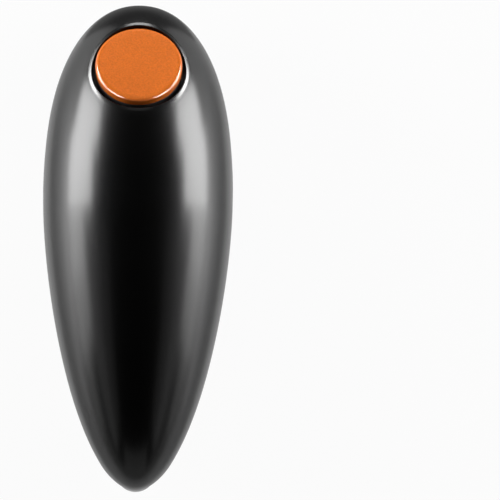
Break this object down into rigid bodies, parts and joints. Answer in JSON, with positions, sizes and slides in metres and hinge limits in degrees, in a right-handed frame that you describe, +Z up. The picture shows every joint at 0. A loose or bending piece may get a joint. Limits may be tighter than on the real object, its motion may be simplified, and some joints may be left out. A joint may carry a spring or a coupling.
{
  "type": "can opener",
  "caption": "Hand-held battery can opener: teardrop body, tilted round push button, geared drive wheel and swinging cutting wheel underneath, hinged battery cover.",
  "frame": {"origin": "on the table under the middle of the body's length and width", "axes": "+Z up, +Y along the body towards the wide end with the button, +X across"},
  "size_m": [0.07, 0.18, 0.0601],
  "materials": {
    "black_gloss": "glossy moulded",
    "orange_satin": "satin with a fine grain",
    "dark_plastic": "satin moulded",
    "pale_plastic": "satin moulded",
    "steel": "bright machined",
    "hard_steel": "ground and hardened",
    "brass": "turned",
    "copper": "bright",
    "magnet": "dark sintered",
    "nickel": "plated",
    "rubber": "matt",
    "board_green": "coated laminate",
    "cell_jacket": "plain wrapped jacket",
    "wire_red": "insulated",
    "wire_black": "insulated"
  },
  "bodies": {
    "casing": {"upper_casing": "black_gloss", "lower_casing": "black_gloss", "rim_guard": "black_gloss", "hinge_pin": "steel", "case_screws": "steel", "switch_body": "dark_plastic", "switch_board": "board_green", "board_screws": "steel", "button_spring": "steel", "gear_frame_lower": "dark_plastic", "gear_frame_upper": "dark_plastic", "frame_screws": "steel", "gear_axles": "steel", "spindle_bushes": "brass", "motor_can": "nickel", "motor_magnets": "magnet", "motor_end_cap": "dark_plastic", "motor_terminals": "copper", "motor_screws": "steel", "lid_magnet": "nickel", "battery_tray": "dark_plastic", "battery_left": "cell_jacket", "battery_right": "cell_jacket", "front_contacts": "nickel", "rear_contact": "nickel", "contact_springs": "nickel", "lead_red": "wire_red", "lead_black": "wire_black", "lead_motor": "wire_red"},
    "button": {"start_button": "orange_satin", "button_base": "dark_plastic", "switch_plunger": "pale_plastic"},
    "cover": {"battery_cover": "black_gloss"},
    "carrier": {"cutter_carrier": "steel", "cutter_axle": "steel", "cutter_screw": "steel"},
    "cutter": {"cutting_wheel": "hard_steel"},
    "drive": {"drive_spindle": "steel", "drive_wheel": "hard_steel", "drive_wheel_screw": "steel", "output_gear": "pale_plastic", "clutch_ring": "rubber", "spindle_clip": "steel"},
    "third_gear": {"gear_3": "pale_plastic"},
    "second_gear": {"gear_2": "pale_plastic"},
    "first_gear": {"gear_1": "pale_plastic"},
    "rotor": {"motor_shaft": "steel", "motor_armature": "steel", "motor_pinion": "brass"}
  },
  "joints": [
    {"name": "button_press", "type": "slide", "parent": "casing", "child": "button", "axis": [0, -0.454, -0.891], "range_m": [0, 0.002], "stiffness_N_per_m": 700, "springref_m": -0.002, "deforming": ["button_spring"]},
    {"name": "cover_hinge", "type": "hinge", "parent": "casing", "child": "cover", "pos_m": [0, -0.01218, 0.007], "axis": [1, 0, 0], "range_deg": [0, 70]},
    {"name": "carrier_swing", "type": "hinge", "parent": "casing", "child": "carrier", "pos_m": [0, 0.045, 0.009], "axis": [0, 0, -1], "range_deg": [0, 100]},
    {"name": "cutter_spin", "type": "hinge", "parent": "carrier", "child": "cutter", "pos_m": [-0.01253, 0.05942, 0.0025], "axis": [0, 0, 1], "continuous": true},
    {"name": "drive_spin", "type": "hinge", "parent": "casing", "child": "drive", "pos_m": [0.00557, 0.04835, 0.005], "axis": [0, 0, 1], "continuous": true},
    {"name": "gear_3_spin", "type": "hinge", "parent": "casing", "child": "third_gear", "pos_m": [-0.00343, 0.03276, 0.017], "axis": [0, 0, 1], "continuous": true},
    {"name": "gear_2_spin", "type": "hinge", "parent": "casing", "child": "second_gear", "pos_m": [0.0076, 0.0235, 0.02], "axis": [0, 0, 1], "continuous": true},
    {"name": "gear_1_spin", "type": "hinge", "parent": "casing", "child": "first_gear", "pos_m": [-0.00305, 0.01605, 0.022], "axis": [0, 0, 1], "continuous": true},
    {"name": "motor_spin", "type": "hinge", "parent": "casing", "child": "rotor", "pos_m": [0.0001, 0.00343, 0.024], "axis": [0, 0, 1], "continuous": true}
  ],
  "couplings": [
    {"joint": "gear_3_spin", "follows": "drive_spin", "ratio": -2.75},
    {"joint": "gear_2_spin", "follows": "drive_spin", "ratio": 8.25},
    {"joint": "gear_1_spin", "follows": "drive_spin", "ratio": -27.5},
    {"joint": "motor_spin", "follows": "drive_spin", "ratio": 91.667}
  ]
}
